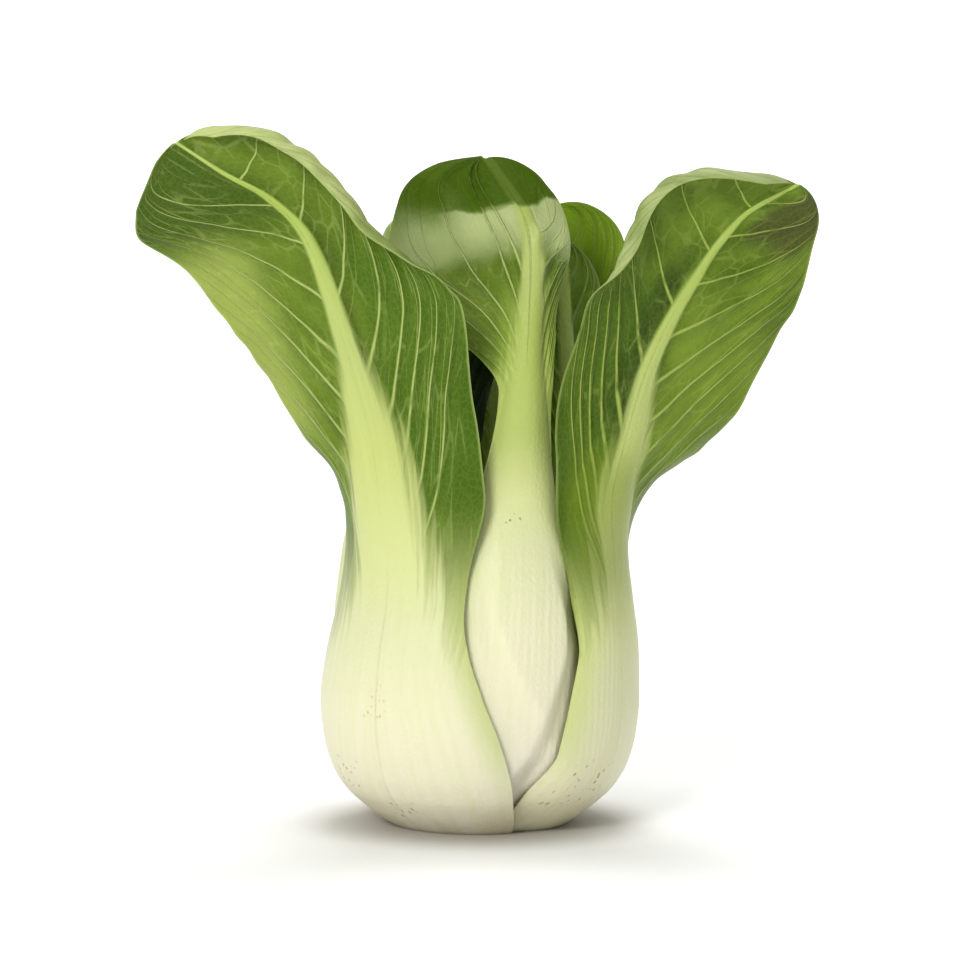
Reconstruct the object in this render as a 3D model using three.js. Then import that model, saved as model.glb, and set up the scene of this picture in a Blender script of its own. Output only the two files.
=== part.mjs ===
// A head of bok choy, standing on its cut base: a short stem and twelve leaves packed round it.
// Millimetres, +Z up, front towards -Y. The stem's cut face is centred on the origin.
import * as THREE from "three";

const degree = Math.PI / 180;

// Driving dimensions.
const leafGap = 0.55;
const bladeThickness = 0.8;
const neckStart = 50;
const neckEnd = 84;
const petioleRows = [0, 1.3, 4, 9, 15, 23, 32, 42, 52, 62, 73, 84];

// Pairs of height and value. The head's outer radius swells into a bulb above the cut base.
const headRadius = [
  [0, 22.6], [2.5, 26.4], [6, 30.8], [10, 34.9], [16, 38.3], [24, 40.4], [33, 41.3],
  [44, 40.9], [58, 39.1], [70, 37.6], [84, 36.6], [100, 35.6],
];
// The stem's radius: nearly straight, then drawn in to a point between the heart leaves.
const stemProfile = [[0, 11.5], [1.3, 11.4], [4, 11.7], [9, 11], [12.5, 8.8], [15.5, 5.8], [17.6, 2.8]];
const stemHeight = 19;
// Half of the angle that one petiole spans round the head, in degrees.
const petioleSpan = [[0, 60], [8, 54], [17, 50], [27, 45], [37, 39], [48, 33], [58, 30], [90, 29]];
// Pairs of distance along the leaf and value, the first as a share of the leaf's thickest place.
const petioleThickness = [[0, 0.72], [8, 0.94], [25, 1], [55, 0.86], [85, 0.68], [120, 0.42], [185, 0.2]];
const stalkHalfWidth = [[50, 24], [66, 17], [85, 11.5], [102, 7.5], [122, 4.4], [150, 2.6], [190, 1.4]];
// How far the head's axis has moved to the right.
const headLean = [[35, 0], [60, 1.2], [84, 1.8]];
// How far each petiole's edges lie nearer the stem than its middle.
const edgeDrop = [[0, 0.6], [10, 1.8], [30, 2.4], [60, 2.2], [84, 1.2]];

// Each leaf, from the outside in. angle is where its petiole stands round the head, start how
// high up the stem it grows, slack how loosely it lies inside the leaves round it. spread
// scales its petiole's span to the right and left, and waist narrows the left in the middle.
// rib holds points along the outer side of the midrib above the neck, facing the compass
// angle of the blade's outer side, right and left its half widths as seen from outside,
// and the bends how far each half turns inwards by its margin, in radians. fold is a crease
// beside the midrib, and rim a margin that rolls outwards on one side, or with side 0 on both.
// rowTurn is where along the midrib the leaf's width stops turning with it, and the share of
// the turn that is left. tilt keeps the width that many degrees from level instead.
const leaves = [
  {
    name: "leaf_front_left",
    angle: -128,
    start: 0,
    spread: [1, 1.5],
    thickness: 5.4,
    stalk: 1,
    rib: [
      [-24.6, -32, 86], [-26.8, -34, 102.6], [-33.6, -37, 127.5], [-42.3, -40, 151],
      [-51, -42, 160.5], [-62.5, -43, 167], [-73.5, -44, 174.2],
    ],
    facing: [-116, -106, -100, -98, -98, -98, -98],
    right: [25.5, 25.5, 30.5, 21, 23, 28, 34],
    left: [20, 22, 26.7, 33, 36, 29, 22],
    rightBend: [0.5, 0.35, 0.2, 0.15, 0.1, 0.1, 0.1],
    leftBend: [1, 0.7, 0.45, 0.35, 0.3, 0.3, 0.3],
    wave: [1.3, 2.6, 0.4],
    tip: 27,
    rowTurn: [140, 0.35],
    rim: { side: 1, from: 122, over: 34, width: 10, turn: 150 },
    columns: 13,
  },
  {
    name: "leaf_front_right",
    angle: -30,
    start: 0,
    spread: [1, 0.76],
    waist: 0.24,
    thickness: 5.4,
    stalk: 0.92,
    rib: [
      [33.3, -24.5, 84], [36.4, -27, 99.2], [42.5, -29, 119.3], [54, -32, 141.9],
      [64.8, -34, 156], [78, -36, 164],
    ],
    facing: [-50, -62, -72, -78, -80, -80],
    right: [28.5, 29.7, 30.2, 28.5, 22.9, 20],
    left: [14, 18.5, 21.5, 28.3, 32.5, 37],
    rightBend: [0.7, 0.45, 0.25, 0.2, 0.2, 0.2],
    leftBend: [0.3, 0.1, -0.2, -0.35, -0.3, -0.2],
    wave: [1.1, 2.2, 2.1],
    tip: 27,
    rowTurn: [125, 0.4],
    rim: { side: -1, from: 128, over: 22, width: 10, turn: 140 },
    columns: 13,
  },
  {
    name: "leaf_back",
    angle: 103,
    start: 0,
    spread: [1, 1],
    thickness: 5.4,
    stalk: 1,
    rib: [[-8, 37, 86], [-8, 39.5, 104], [-7, 44, 124], [-4, 51, 142], [-1, 58, 152], [1, 64, 156]],
    facing: [102, 98, 94, 90, 88, 88],
    right: [16, 20, 23, 24, 22, 18],
    left: [16, 20, 24, 24, 22, 18],
    rightBend: [0.7, 0.6, 0.45, 0.3, 0.25, 0.2],
    leftBend: [0.7, 0.55, 0.4, 0.3, 0.25, 0.2],
    wave: [1.6, 2.4, 1.1],
    tip: 20,
    rim: { side: 0, from: 120, over: 22, width: 8, turn: 60 },
    columns: 13,
  },
  {
    name: "leaf_front_middle",
    angle: -75,
    start: 0,
    slack: 0.7,
    spread: [0.95, 0.95],
    thickness: 5,
    stalk: 0.9,
    rib: [
      [10.6, -30.4, 86], [11.6, -29.5, 112], [12.7, -26.5, 131], [13.2, -19.5, 146],
      [11.8, -10.5, 154.5], [8, -9.5, 161], [2, -12, 169.5],
    ],
    facing: [-78, -88, -92, -92, -92, -92, -92],
    right: [9.5, 6.5, 8, 10, 11, 9.5, 9],
    left: [10, 6.5, 23, 38, 36, 29.5, 24],
    rightBend: [0.4, 0.2, 0.1, 0.1, 0.1, 0.1, 0.1],
    leftBend: [0.4, 0.2, 0.2, 0.25, 0.3, 0.35, 0.35],
    fold: [0, 0.2, 0.8, 0.8, 0.6, 0.4, 0.3],
    wave: [0.9, 2, 0.2],
    tip: 13,
    tilt: 8,
    columns: 17,
  },
  {
    name: "leaf_left",
    angle: 166,
    start: 0,
    slack: 0.15,
    spread: [0.95, 0.95],
    thickness: 5,
    stalk: 0.9,
    rib: [[-31.5, 8, 86], [-33, 9.5, 106], [-36, 12, 126], [-41, 16, 143], [-46, 20, 152]],
    facing: [164, 162, 160, 158, 156],
    right: [13, 18, 23, 22, 18],
    left: [13, 18, 22, 22, 18],
    rightBend: [0.6, 0.5, 0.4, 0.35, 0.3],
    leftBend: [0.6, 0.5, 0.4, 0.35, 0.3],
    wave: [1.3, 2.3, 3],
    tip: 18,
    columns: 11,
  },
  {
    name: "leaf_back_right",
    angle: 42,
    start: 0,
    spread: [0.95, 0.95],
    thickness: 5,
    stalk: 0.9,
    rib: [[24.5, 22, 86], [24.5, 24, 106], [24, 27, 126], [22, 31, 142], [19, 36, 155]],
    facing: [44, 48, 54, 58, 60],
    right: [13, 17, 21, 21, 16],
    left: [13, 17, 21, 20, 15],
    rightBend: [0.6, 0.5, 0.4, 0.35, 0.3],
    leftBend: [0.6, 0.5, 0.4, 0.35, 0.3],
    wave: [1.4, 2.2, 5],
    tip: 18,
    columns: 11,
  },
  {
    name: "leaf_inner_right",
    angle: -18,
    start: 1.3,
    slack: 0.45,
    spread: [0.85, 0.85],
    thickness: 4.2,
    stalk: 0.75,
    rib: [[26.5, -10, 84], [24.5, -9.5, 104], [22.5, -8, 122], [21.5, -4, 138], [21, 1, 149]],
    facing: [-28, -42, -54, -60, -60],
    right: [9, 11, 13, 13, 10],
    left: [9, 11, 13, 13, 10],
    rightBend: [0.6, 0.4, 0.3, 0.3, 0.3],
    leftBend: [0.6, 0.4, 0.3, 0.3, 0.3],
    wave: [1, 1.8, 1],
    tip: 15,
    columns: 11,
  },
  {
    name: "leaf_inner_left",
    angle: -122,
    start: 1.3,
    slack: 0.2,
    spread: [0.85, 0.85],
    thickness: 4.2,
    stalk: 0.75,
    rib: [[-14.5, -23, 84], [-13, -21, 104], [-11.5, -17, 122], [-10, -11, 136], [-9, -5, 145]],
    facing: [-120, -114, -108, -104, -102],
    right: [10, 14, 16, 15, 12],
    left: [10, 14, 16, 15, 12],
    rightBend: [0.6, 0.4, 0.3, 0.3, 0.3],
    leftBend: [0.6, 0.5, 0.5, 0.5, 0.5],
    wave: [1, 1.9, 2],
    tip: 15,
    columns: 11,
  },
  {
    name: "leaf_inner_back",
    angle: 80,
    start: 4,
    slack: 0.3,
    spread: [0.8, 0.8],
    thickness: 3.6,
    stalk: 0.7,
    rib: [[5, 22, 84], [5, 22, 102], [4.5, 23, 120], [4, 26, 136]],
    facing: [82, 84, 86, 86],
    right: [9, 12, 14, 11],
    left: [9, 12, 14, 11],
    rightBend: [0.6, 0.5, 0.5, 0.5],
    leftBend: [0.6, 0.5, 0.5, 0.5],
    wave: [0.9, 1.7, 4],
    tip: 13,
    columns: 11,
  },
  {
    name: "leaf_inner_far_left",
    angle: 172,
    start: 4,
    slack: 0.3,
    spread: [0.8, 0.8],
    thickness: 3.6,
    stalk: 0.7,
    rib: [[-21, 3, 84], [-20.5, 3, 100], [-20, 4, 116], [-20, 6, 130]],
    facing: [172, 170, 168, 166],
    right: [8, 11, 13, 10],
    left: [8, 11, 13, 10],
    rightBend: [0.6, 0.5, 0.5, 0.5],
    leftBend: [0.6, 0.5, 0.5, 0.5],
    wave: [0.8, 1.6, 1.4],
    tip: 13,
    columns: 11,
  },
  {
    name: "leaf_heart_front",
    angle: -58,
    start: 9,
    slack: 0.8,
    spread: [0.8, 0.8],
    thickness: 3,
    stalk: 0.6,
    rib: [[7, -12, 80], [6, -10, 96], [4.5, -7, 110], [3, -3, 120]],
    facing: [-60, -64, -68, -70],
    right: [6.5, 9, 10, 8],
    left: [6.5, 9, 10, 8],
    rightBend: [0.7, 0.7, 0.7, 0.7],
    leftBend: [0.7, 0.7, 0.7, 0.7],
    wave: [0.6, 1.5, 0],
    tip: 11,
    columns: 11,
  },
  {
    name: "leaf_heart_back",
    angle: 128,
    start: 9,
    slack: 1.1,
    spread: [0.8, 0.8],
    thickness: 3,
    stalk: 0.6,
    rib: [[-6, 9, 80], [-5.5, 8.5, 94], [-4.5, 7.5, 105], [-3.5, 6, 113]],
    facing: [126, 124, 122, 120],
    right: [6, 8, 9, 7],
    left: [6, 8, 9, 7],
    rightBend: [0.7, 0.7, 0.7, 0.7],
    leftBend: [0.7, 0.7, 0.7, 0.7],
    wave: [0.6, 1.5, 2],
    tip: 10,
    columns: 11,
  },
];

// A smooth curve through rising (x, value) pairs that never overshoots them.
function through(pairs, x) {
  const last = pairs.length - 1;
  if (x <= pairs[0][0]) return pairs[0][1];
  if (x >= pairs[last][0]) return pairs[last][1];
  let i = 0;
  while (x > pairs[i + 1][0]) i += 1;
  const slope = (k) => (pairs[k + 1][1] - pairs[k][1]) / (pairs[k + 1][0] - pairs[k][0]);
  const meet = (a, b) => (a * b > 0 ? (2 * a * b) / (a + b) : 0);
  const here = slope(i);
  const before = i > 0 ? meet(slope(i - 1), here) : here;
  const after = i < last - 1 ? meet(here, slope(i + 1)) : here;
  const span = pairs[i + 1][0] - pairs[i][0];
  const u = (x - pairs[i][0]) / span;
  const bend = (before + after - 2 * here) * span;
  return pairs[i][1] + u * (before * span + u * (3 * here * span - (2 * before + after) * span + u * bend));
}

function smooth(from, to, x) {
  const u = Math.min(1, Math.max(0, (x - from) / (to - from)));
  return u * u * (3 - 2 * u);
}

function turnBetween(a, b) {
  return ((((a - b) % 360) + 540) % 360) - 180;
}

// Half span of a petiole in degrees, on its right side or, with a negative side, its left.
function halfSpan(leaf, side, height) {
  const span = through(petioleSpan, height) * leaf.spread[side > 0 ? 0 : 1];
  const waist = side > 0 ? 0 : leaf.waist ?? 0;
  return span * (1 - waist * smooth(6, 22, height) * smooth(74, 46, height));
}

// Share of a petiole's half span at a compass angle: 0 at its midrib, +1 and -1 at its edges.
function across(leaf, angle, height) {
  const turn = turnBetween(angle, leaf.angle);
  return turn / halfSpan(leaf, turn, height);
}

// A leaf's thickness at a distance along it and a share t of its half width.
function thicknessAt(leaf, along, t, width) {
  const middle = Math.max(bladeThickness, leaf.thickness * through(petioleThickness, along));
  const stalk = through(stalkHalfWidth, along) * leaf.stalk;
  const reach = Math.abs(t) * THREE.MathUtils.lerp(1, width / stalk, smooth(46, 66, along));
  return bladeThickness + (middle - bladeThickness) * Math.max(0, 1 - reach * reach) ** 0.85;
}

// How deep a petiole is at its own share of the span, its rounded back included.
function petioleDepth(leaf, share, height) {
  const width = halfSpan(leaf, share, height) * degree * through(headRadius, height);
  return thicknessAt(leaf, height, share, width);
}

// Radius of a petiole's outer face: the head's own radius less the leaves that lie outside it.
function outerRadius(index, angle, height) {
  let radius = through(headRadius, height);
  for (const leaf of leaves.slice(0, index)) {
    const share = across(leaf, angle, height);
    const edge = Math.max(-1, Math.min(1, share));
    const depth = petioleDepth(leaf, edge, height) + through(edgeDrop, height) * edge ** 4;
    radius -= (depth + leafGap) * (1 - smooth(1.12, 1.5, Math.abs(share)));
  }
  const own = Math.abs(across(leaves[index], angle, height));
  return radius - (leaves[index].slack ?? 0) - through(edgeDrop, height) * own ** 4;
}

// The midrib above the neck as a curve through its points, and each listed quantity along it.
function bladeOf(leaf, index) {
  const low = [42, 60].map((height) => {
    const radius = outerRadius(index, leaf.angle, height);
    const turn = leaf.angle * degree;
    const x = radius * Math.cos(turn) + through(headLean, height);
    return { point: new THREE.Vector3(x, radius * Math.sin(turn), height), radius };
  });
  const points = [...low.map((p) => p.point), ...leaf.rib.map((p) => new THREE.Vector3(...p))];
  const marks = [42];
  for (let i = 1; i < points.length; i += 1) {
    marks.push(marks[i - 1] + points[i].distanceTo(points[i - 1]));
  }
  const pairs = (start, values) => [...start, ...values].map((value, i) => [marks[i], value]);
  const bend = (side) => [42, 60].map((height) => halfSpan(leaf, side, height) * degree);
  const half = (side) => bend(side).map((span, i) => span * low[i].radius);
  return {
    length: marks[marks.length - 1],
    marks,
    points,
    facing: pairs([leaf.angle, leaf.angle], leaf.facing),
    right: pairs(half(1), leaf.right),
    left: pairs(half(-1), leaf.left),
    rightBend: pairs(bend(1), leaf.rightBend),
    leftBend: pairs(bend(-1), leaf.leftBend),
    fold: pairs([0, 0], leaf.fold ?? leaf.facing.map(() => 0)),
  };
}

// Point and direction on the midrib at a distance along it.
function ribAt(blade, along) {
  const { marks, points } = blade;
  let i = 0;
  while (i < marks.length - 2 && along > marks[i + 1]) i += 1;
  const tangent = (k) => {
    const a = Math.max(0, k - 1);
    const b = Math.min(points.length - 1, k + 1);
    return points[b].clone().sub(points[a]).divideScalar(marks[b] - marks[a]);
  };
  const span = marks[i + 1] - marks[i];
  const u = (along - marks[i]) / span;
  const a = tangent(i).multiplyScalar(span);
  const b = tangent(i + 1).multiplyScalar(span);
  const p = points[i];
  const q = points[i + 1];
  const step = q.clone().sub(p);
  const square = step.clone().multiplyScalar(3).addScaledVector(a, -2).sub(b);
  const cube = a.clone().add(b).addScaledVector(step, -2);
  const point = p.clone().addScaledVector(a, u).addScaledVector(square, u * u).addScaledVector(cube, u ** 3);
  const direction = a.clone().addScaledVector(square, 2 * u).addScaledVector(cube, 3 * u * u).normalize();
  return { point, direction };
}

// Half width of the leaf on one side, rounded off towards its tip.
function halfWidth(leaf, blade, along, side) {
  const start = blade.length - leaf.tip;
  const share = Math.min(1, Math.max(0, (along - start) / leaf.tip));
  return through(side > 0 ? blade.right : blade.left, along) * Math.sqrt(1 - share ** 2.3 + 0.0015);
}

// Inner face of the blade at a distance along it and a share t of its half width, -1 to 1.
function bladePoint(leaf, blade, along, t) {
  const { point } = ribAt(blade, along);
  const [turnsTo, after] = leaf.rowTurn ?? [blade.length, 1];
  const { direction } = ribAt(blade, Math.min(along, turnsTo) + Math.max(0, along - turnsTo) * after);
  const turn = through(blade.facing, along) * degree;
  const sideways = new THREE.Vector3(-Math.sin(turn), Math.cos(turn), 0);
  if (leaf.tilt === undefined) sideways.addScaledVector(direction, -sideways.dot(direction));
  else sideways.z = Math.tan(leaf.tilt * degree) * smooth(115, 150, along);
  sideways.normalize();
  const outward = sideways.clone().cross(direction).normalize();
  const side = t < 0 ? -1 : 1;
  const width = halfWidth(leaf, blade, along, side);
  const bend = through(side > 0 ? blade.rightBend : blade.leftBend, along);
  const fold = side > 0 ? through(blade.fold, along) : 0;
  const rim = leaf.rim ?? { side: 2 };
  const rolls = rim.side === 0 || rim.side === side;
  const started = rolls ? smooth(rim.from, rim.from + rim.over, along) : 0;
  const roll = rolls ? rim.turn * degree * started : 0;
  const rimWidth = rolls ? Math.min(rim.width, 0.6 * width) : 0;
  const steps = 12;
  let aside = 0;
  let depth = -thicknessAt(leaf, along, 0, width);
  for (let k = 0; k < steps; k += 1) {
    const share = ((k + 0.5) / steps) * Math.abs(t);
    const toEdge = (1 - share) * width;
    const rimTurn = rolls ? roll * smooth(rimWidth, 0, toEdge) : 0;
    const slope = fold * smooth(0, 0.3, share) + bend * share - rimTurn;
    aside += (Math.cos(slope) * width * Math.abs(t)) / steps;
    depth -= (Math.sin(slope) * width * Math.abs(t)) / steps;
  }
  const [size, count, phase] = leaf.wave;
  const angle = 2 * Math.PI * count * ((along - neckEnd) / (blade.length - neckEnd)) + phase + side;
  const swing = size * smooth(80, 112, along) * smooth(0, 12, width);
  depth += swing * Math.abs(t) ** 3 * Math.sin(angle);
  return point.addScaledVector(sideways, side * aside).addScaledVector(outward, depth);
}

// Unit vector out of the back of a leaf's grid of points at one place.
function normalOf(grid, i, j) {
  const rows = grid.length - 1;
  const columns = grid[0].length - 1;
  const lengthwise = grid[Math.min(rows, i + 1)][j].clone().sub(grid[Math.max(0, i - 1)][j]);
  const sideways = grid[i][Math.min(columns, j + 1)].clone().sub(grid[i][Math.max(0, j - 1)]);
  return sideways.cross(lengthwise).normalize();
}

function rowsOf(leaf, blade) {
  const rows = petioleRows.filter((height) => height >= leaf.start);
  const bladeEnd = blade.length - leaf.tip;
  const count = Math.max(2, Math.round((bladeEnd - neckEnd) / 11));
  for (let k = 1; k <= count; k += 1) rows.push(neckEnd + ((bladeEnd - neckEnd) * k) / count);
  for (const share of [0.4, 0.68, 0.87, 0.96, 1]) rows.push(bladeEnd + leaf.tip * share);
  return rows;
}

// Shares of the half width at which the columns stand, closer together by the midrib.
function columnsOf(count) {
  const half = (count - 1) / 2;
  const shares = [];
  for (let k = -half; k <= half; k += 1) {
    const share = Math.abs(k) / half;
    shares.push(Math.sign(k) * (0.55 * share + 0.45 * share ** 2.2));
  }
  return shares;
}

function leafGeometry(leaf, index) {
  const blade = bladeOf(leaf, index);
  const rows = rowsOf(leaf, blade);
  const columns = columnsOf(leaf.columns);
  const free = rows.map((along) => columns.map((t) => bladePoint(leaf, blade, Math.max(42, along), t)));
  const inner = [];
  const outer = [];
  rows.forEach((along, i) => {
    const mix = smooth(neckStart, neckEnd, along);
    const height = Math.min(along, neckEnd + 12);
    inner.push([]);
    outer.push([]);
    columns.forEach((t, j) => {
      const angle = leaf.angle + t * halfSpan(leaf, t, height);
      const radius = outerRadius(index, angle, height);
      const direction = new THREE.Vector3(Math.cos(angle * degree), Math.sin(angle * degree), 0);
      const axis = new THREE.Vector3(through(headLean, height), 0, height);
      const packed = (r) => axis.clone().addScaledVector(direction, r);
      const width = halfWidth(leaf, blade, Math.max(42, along), t);
      const thickness = thicknessAt(leaf, along, t, width);
      const freeOuter = free[i][j].clone().addScaledVector(normalOf(free, i, j), thickness);
      const depth = petioleDepth(leaf, t, height);
      outer[i].push(packed(radius).lerp(freeOuter, mix));
      inner[i].push(packed(radius - depth).lerp(free[i][j], mix));
    });
  });
  return closedSheet(outer, inner);
}

// One closed body from two faces of the same grid, joined all round their edge.
function closedSheet(outer, inner) {
  const rows = outer.length;
  const columns = outer[0].length;
  const place = (i, j, face) => (face * rows + i) * columns + j;
  const positions = [];
  for (const face of [outer, inner]) {
    for (const row of face) {
      for (const p of row) positions.push(p.x, p.y, p.z);
    }
  }
  const index = [];
  const quad = (a, b, c, d) => index.push(a, b, c, a, c, d);
  for (let i = 0; i < rows - 1; i += 1) {
    for (let j = 0; j < columns - 1; j += 1) {
      quad(place(i, j, 0), place(i, j + 1, 0), place(i + 1, j + 1, 0), place(i + 1, j, 0));
      index.push(place(i, j, 1), place(i + 1, j + 1, 1), place(i, j + 1, 1));
      index.push(place(i, j, 1), place(i + 1, j, 1), place(i + 1, j + 1, 1));
    }
  }
  for (let j = 0; j < columns - 1; j += 1) {
    quad(place(0, j, 1), place(0, j + 1, 1), place(0, j + 1, 0), place(0, j, 0));
    quad(place(rows - 1, j, 0), place(rows - 1, j + 1, 0), place(rows - 1, j + 1, 1), place(rows - 1, j, 1));
  }
  for (let i = 0; i < rows - 1; i += 1) {
    quad(place(i, 0, 0), place(i + 1, 0, 0), place(i + 1, 0, 1), place(i, 0, 1));
    quad(place(i, columns - 1, 1), place(i + 1, columns - 1, 1), place(i + 1, columns - 1, 0), place(i, columns - 1, 0));
  }
  const geometry = new THREE.BufferGeometry();
  geometry.setAttribute("position", new THREE.Float32BufferAttribute(positions, 3));
  geometry.setIndex(index);
  geometry.computeVertexNormals();
  return geometry;
}

// The short stem that the petioles grow from, cut flat below and pointed above.
function stemGeometry() {
  const side = stemProfile.map(([height, radius]) => new THREE.Vector2(radius, height));
  const profile = [new THREE.Vector2(0, 0), ...side, new THREE.Vector2(0, stemHeight)];
  return new THREE.LatheGeometry(profile, 28).rotateX(Math.PI / 2);
}

const leafMaterial = new THREE.MeshStandardMaterial({ color: 0x7d9a3f, roughness: 0.45, metalness: 0 });
const heartMaterial = new THREE.MeshStandardMaterial({ color: 0xa9c065, roughness: 0.45, metalness: 0 });
const stemMaterial = new THREE.MeshStandardMaterial({ color: 0xeef0d2, roughness: 0.6, metalness: 0 });

const head = new THREE.Group();
leaves.forEach((leaf, index) => {
  const material = leaf.start > 1.3 ? heartMaterial : leafMaterial;
  const mesh = new THREE.Mesh(leafGeometry(leaf, index), material.clone());
  mesh.name = leaf.name;
  head.add(mesh);
});
const stem = new THREE.Mesh(stemGeometry(), stemMaterial);
stem.name = "cut_stem";
head.add(stem);

export default head;
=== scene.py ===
# A head of bok choy, dressed leaf by leaf. Lengths are in millimetres until a mesh is written.
import math

import bmesh
import bpy
import numpy as np
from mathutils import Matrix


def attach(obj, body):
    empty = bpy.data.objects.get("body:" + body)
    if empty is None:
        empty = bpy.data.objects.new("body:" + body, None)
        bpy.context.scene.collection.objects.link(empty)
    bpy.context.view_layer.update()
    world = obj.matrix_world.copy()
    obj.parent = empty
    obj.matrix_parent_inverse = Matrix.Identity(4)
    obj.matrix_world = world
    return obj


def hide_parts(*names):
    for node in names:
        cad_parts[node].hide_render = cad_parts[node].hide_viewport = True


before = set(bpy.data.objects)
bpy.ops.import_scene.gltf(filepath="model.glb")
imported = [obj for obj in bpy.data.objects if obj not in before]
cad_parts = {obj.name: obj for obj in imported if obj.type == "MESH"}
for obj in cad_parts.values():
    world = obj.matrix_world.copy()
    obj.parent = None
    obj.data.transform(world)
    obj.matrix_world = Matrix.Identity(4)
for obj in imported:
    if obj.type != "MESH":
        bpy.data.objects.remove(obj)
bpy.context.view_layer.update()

millimetre = 0.001
degree = math.pi / 180
print("frame loaded,", len(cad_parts), "nodes")

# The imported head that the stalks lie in. Pairs are (height or distance along a leaf, value).
head = {
    "leafGap": 0.55,
    "neckStart": 50,
    "neckEnd": 84,
    "edgeThickness": 0.8,
    "radius": [
        (0, 22.6), (2.5, 26.4), (6, 30.8), (10, 34.9), (16, 38.3), (24, 40.4), (33, 41.3),
        (44, 40.9), (58, 39.1), (70, 37.6), (84, 36.6), (100, 35.6),
    ],
    "span": [(0, 60), (8, 54), (17, 50), (27, 45), (37, 39), (48, 33), (58, 30), (90, 29)],
    "thickness": [(0, 0.72), (8, 0.94), (25, 1), (55, 0.86), (85, 0.68), (120, 0.42), (185, 0.2)],
    "stalkHalf": [(50, 24), (66, 17), (85, 11.5), (102, 7.5), (122, 4.4), (150, 2.6), (190, 1.4)],
    "lean": [(35, 0), (60, 1.2), (84, 1.8)],
    "edgeDrop": [(0, 0.6), (10, 1.8), (30, 2.4), (60, 2.2), (84, 1.2)],
}

# What every blade has in common.
bladeFinish = {
    "readAt": (42, 60),  # heights where a blade's first two rows are read off its stalk
    "tipRows": 1.5,  # length at the tip whose rows are too short to have normals of their own
    "thinnest": 0.5,
    "trim": 0.3,  # taken off the thickness above the neck
    "puff": 0.34,  # how far the leaf swells between its veins
    "ridge": 0.2,  # how far a vein stands proud of the outer side
    "ruffle": 0.3,
    "ruffleLength": 13,
    "unevenness": 0.7,
    "paleHalf": [
        (34, 70), (44, 40), (52, 25), (60, 18), (70, 14), (80, 11.5), (90, 9.6), (100, 7.6), (110, 5.6),
        (125, 3.3), (150, 1.7), (175, 0.8), (195, 0.4),
    ],
}


# A smooth curve through rising pairs that never overshoots them.
def through(pairs, x):
    xs, ys = np.array(pairs, float).T
    x = np.clip(x, xs[0], xs[-1])
    i = np.clip(np.searchsorted(xs, x, side="right") - 1, 0, len(xs) - 2)
    span = np.diff(xs)
    slope = np.diff(ys) / span
    product = slope[:-1] * slope[1:]
    total = np.where(product > 0, slope[:-1] + slope[1:], 1)
    meet = np.where(product > 0, 2 * product / total, 0)
    before = np.concatenate([slope[:1], meet])[i]
    after = np.concatenate([meet, slope[-1:]])[i]
    u = (x - xs[i]) / span[i]
    bend = before + after - 2 * slope[i]
    return ys[i] + span[i] * u * (before + u * (3 * slope[i] - 2 * before - after + u * bend))


def smooth(start, end, x):
    u = np.clip((x - start) / (end - start), 0, 1)
    return u * u * (3 - 2 * u)


def unit(vectors):
    return vectors / np.maximum(np.linalg.norm(vectors, axis=-1, keepdims=True), 1e-9)


# The stalks: how they lie round each other in the head.

def halfSpan(leaf, side, height):
    waist = leaf.get("waist", 0) * smooth(6, 22, height) * smooth(74, 46, height)
    spread = np.where(side > 0, leaf["spread"][0], leaf["spread"][1] * (1 - waist))
    return through(head["span"], height) * spread


def across(leaf, angle, height):
    turn = (angle - leaf["angle"] + 540) % 360 - 180
    return turn / halfSpan(leaf, turn, height)


def thicknessAt(leaf, along, t, width):
    edge = head["edgeThickness"]
    middle = np.maximum(edge, leaf["thickness"] * through(head["thickness"], along))
    stalk = through(head["stalkHalf"], along) * leaf["stalk"]
    reach = np.abs(t) * (1 + (width / stalk - 1) * smooth(46, 66, along))
    return edge + (middle - edge) * np.maximum(0, 1 - reach * reach) ** 0.85


def stalkDepth(leaf, share, height):
    span = halfSpan(leaf, share, height) * degree
    return thicknessAt(leaf, height, share, span * through(head["radius"], height))


def outerRadius(leaf, outside, angle, height):
    radius = through(head["radius"], height)
    for other in outside:
        share = across(other, angle, height)
        edge = np.clip(share, -1, 1)
        depth = stalkDepth(other, edge, height) + through(head["edgeDrop"], height) * edge ** 4
        radius = radius - (depth + head["leafGap"]) * (1 - smooth(1.12, 1.5, np.abs(share)))
    own = np.abs(across(leaf, angle, height))
    return radius - leaf.get("slack", 0) - through(head["edgeDrop"], height) * own ** 4


# The blades: a midrib through its points, and each listed quantity along it.

def bladeOf(leaf, outside):
    turn = leaf["angle"] * degree
    low = []
    for height in bladeFinish["readAt"]:
        radius = float(outerRadius(leaf, outside, leaf["angle"], height))
        x = radius * math.cos(turn) + float(through(head["lean"], height))
        low.append((radius, (x, radius * math.sin(turn), height)))
    points = np.array([p for _, p in low] + list(leaf["rib"]), float)
    steps = np.linalg.norm(np.diff(points, axis=0), axis=1)
    marks = bladeFinish["readAt"][0] + np.concatenate([[0], np.cumsum(steps)])

    def along(start, values):
        return list(zip(marks, list(start) + list(values)))

    def side(which, widths, bends):
        turned = [float(halfSpan(leaf, which, height)) * degree for height in bladeFinish["readAt"]]
        half = [span * radius for span, (radius, _) in zip(turned, low)]
        return {"half": along(half, widths), "bend": along(turned, bends)}

    return {
        "length": marks[-1],
        "marks": marks,
        "points": points,
        "facing": along([leaf["angle"]] * 2, leaf["facing"]),
        "right": side(1, leaf["right"], leaf["rightBend"]),
        "left": side(-1, leaf["left"], leaf["leftBend"]),
        "fold": along([0, 0], leaf.get("fold", [0] * len(leaf["facing"]))),
    }


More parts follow.
